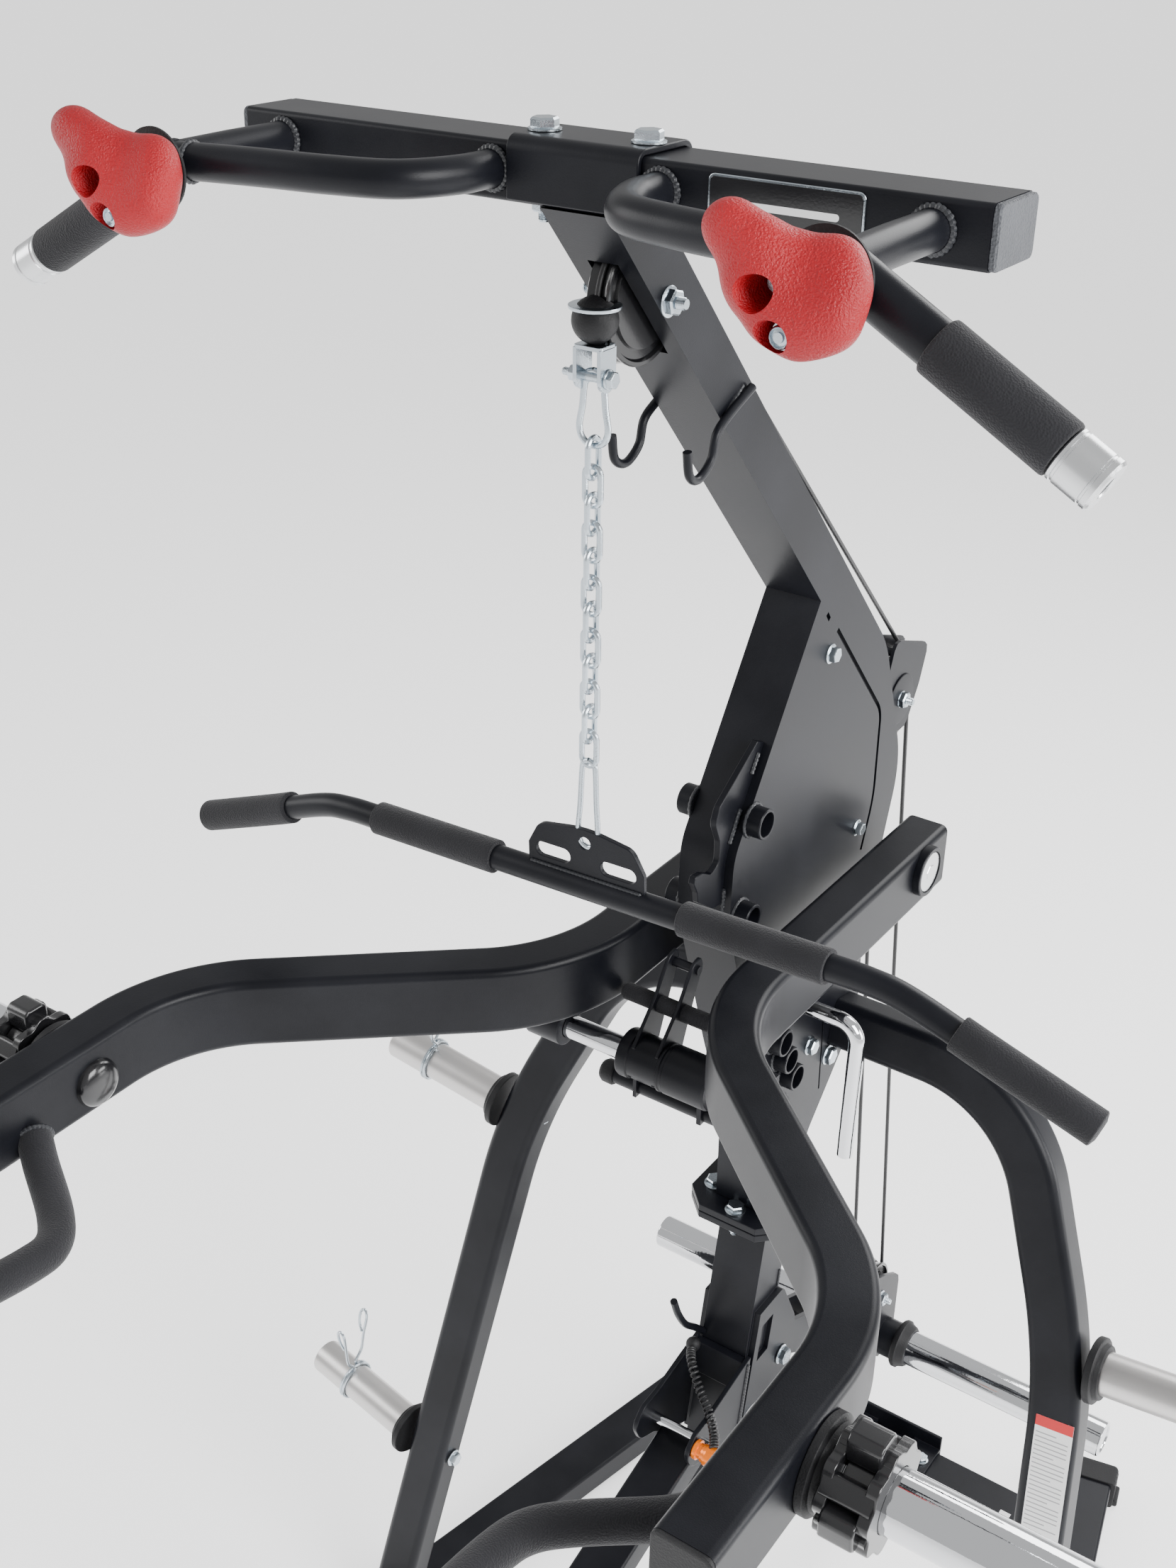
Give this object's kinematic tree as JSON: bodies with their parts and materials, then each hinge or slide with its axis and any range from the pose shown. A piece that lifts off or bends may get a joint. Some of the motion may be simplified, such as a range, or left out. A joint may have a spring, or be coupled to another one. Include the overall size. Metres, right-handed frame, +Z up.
{
  "type": "functional trainer",
  "caption": "Home gym frame with a raked mast, pull-up beam with climbing holds, lat pull-down line on a weight lever, and hinged press arms.",
  "frame": {"origin": "on the floor, below the middle of the object's bounding box", "axes": "+X to the machine's right seen from its front, +Y to its rear, +Z up"},
  "size_m": [1.3512, 1.65, 2.21],
  "materials": {
    "powder_coat": "satin, fine grain",
    "chrome": "polished",
    "zinc": "bright zinc plate",
    "rubber": "matte",
    "foam_grip": "matte closed-cell foam over steel tube",
    "brushed_aluminium": "turned, grooved",
    "hold_resin": "grainy resin",
    "nylon": "moulded",
    "cable_sheath": "coated steel rope",
    "anodised": "orange anodised"
  },
  "bodies": {
    "frame": {"base_rail_left": "powder_coat", "foot_cap_rear_left": "rubber", "foot_cap_front_left": "rubber", "base_rail_right": "powder_coat", "foot_cap_rear_right": "rubber", "foot_cap_front_right": "rubber", "rear_cross_beam": "powder_coat", "lower_column": "powder_coat", "spine_tube": "powder_coat", "rear_saddle_plate": "powder_coat", "column_flange": "powder_coat", "mast": "powder_coat", "cross_beam": "powder_coat", "beam_bracket": "powder_coat", "beam_cap_left": "rubber", "pullup_handle_left": "powder_coat", "pullup_grip_left": "foam_grip", "grip_cap_left": "brushed_aluminium", "climbing_hold_left": "hold_resin", "hanger_hook_left": "powder_coat", "beam_cap_right": "rubber", "pullup_handle_right": "powder_coat", "pullup_grip_right": "foam_grip", "grip_cap_right": "brushed_aluminium", "climbing_hold_right": "hold_resin", "hanger_hook_right": "powder_coat", "rear_pulley_bracket": "powder_coat", "rear_cable": "cable_sheath", "return_cable": "cable_sheath", "leg_left": "powder_coat", "storage_horn_upper_left": "chrome", "storage_horn_lower_left": "chrome", "leg_right": "powder_coat", "storage_horn_upper_right": "chrome", "storage_horn_lower_right": "chrome", "docking_bracket": "powder_coat", "docking_rail": "powder_coat"},
    "lat_line": {"ball_stop": "rubber", "chain": "zinc", "lat_bar": "powder_coat"},
    "weight_lever": {"lat_lever": "powder_coat", "weight_sleeve_left": "chrome", "weight_sleeve_right": "chrome"},
    "press_arms": {"press_arm_left": "powder_coat", "press_horn_left": "chrome", "press_handle_left": "foam_grip", "press_arm_right": "powder_coat", "press_horn_right": "chrome", "press_handle_right": "foam_grip", "cross_shaft": "chrome"},
    "upper_pulley": {"upper_pulley": "nylon"},
    "rear_pulley": {"rear_pulley": "nylon"},
    "lever_pulley": {"lever_pulley": "nylon"},
    "latch": {"latch_yoke": "powder_coat"},
    "stop_pin": {"arm_stop_pin": "chrome"},
    "dock_pin": {"pop_pin": "anodised"},
    "collar_left": {"horn_collar_left": "nylon"},
    "collar_right": {"horn_collar_right": "nylon"}
  },
  "joints": [
    {"name": "lat_pull", "type": "slide", "parent": "frame", "child": "lat_line", "axis": [0, 0, -1], "range_m": [0, 0.12]},
    {"name": "lever_lift", "type": "hinge", "parent": "frame", "child": "weight_lever", "pos_m": [0, 0.15391, 0.687], "axis": [1, 0, 0], "range_deg": [0, 11]},
    {"name": "upper_pulley_spin", "type": "hinge", "parent": "frame", "child": "upper_pulley", "pos_m": [0, -0.17809, 2.062], "axis": [1, 0, 0], "range_deg": [0, 140]},
    {"name": "rear_pulley_spin", "type": "hinge", "parent": "frame", "child": "rear_pulley", "pos_m": [0, 0.36591, 1.508], "axis": [1, 0, 0], "range_deg": [0, 140]},
    {"name": "lever_pulley_spin", "type": "hinge", "parent": "weight_lever", "child": "lever_pulley", "pos_m": [0, 0.49791, 0.5], "axis": [1, 0, 0], "range_deg": [0, 90]},
    {"name": "press_hinge", "type": "hinge", "parent": "frame", "child": "press_arms", "pos_m": [0, 0.26591, 1.363], "axis": [1, 0, 0], "range_deg": [-8, 0]},
    {"name": "latch_swing", "type": "hinge", "parent": "press_arms", "child": "latch", "pos_m": [0, -0.11209, 1.284], "axis": [1, 0, 0], "range_deg": [0, 30]},
    {"name": "stop_pin_slide", "type": "slide", "parent": "frame", "child": "stop_pin", "axis": [1, 0, 0], "range_m": [0, 0.055]},
    {"name": "dock_pin_slide", "type": "slide", "parent": "frame", "child": "dock_pin", "axis": [1, 0, 0], "range_m": [0, 0.012], "stiffness_N_per_m": 700},
    {"name": "collar_left_slide", "type": "slide", "parent": "press_arms", "child": "collar_left", "axis": [-1, 0, 0], "range_m": [0, 0.15]},
    {"name": "collar_right_slide", "type": "slide", "parent": "press_arms", "child": "collar_right", "axis": [1, 0, 0], "range_m": [0, 0.15]}
  ],
  "couplings": [
    {"joint": "lever_lift", "follows": "lat_pull", "rad_per_m": 1.4535},
    {"joint": "upper_pulley_spin", "follows": "lat_pull", "rad_per_m": 19.8},
    {"joint": "rear_pulley_spin", "follows": "lat_pull", "rad_per_m": 19.8},
    {"joint": "lever_pulley_spin", "follows": "lat_pull", "rad_per_m": 11.236}
  ]
}
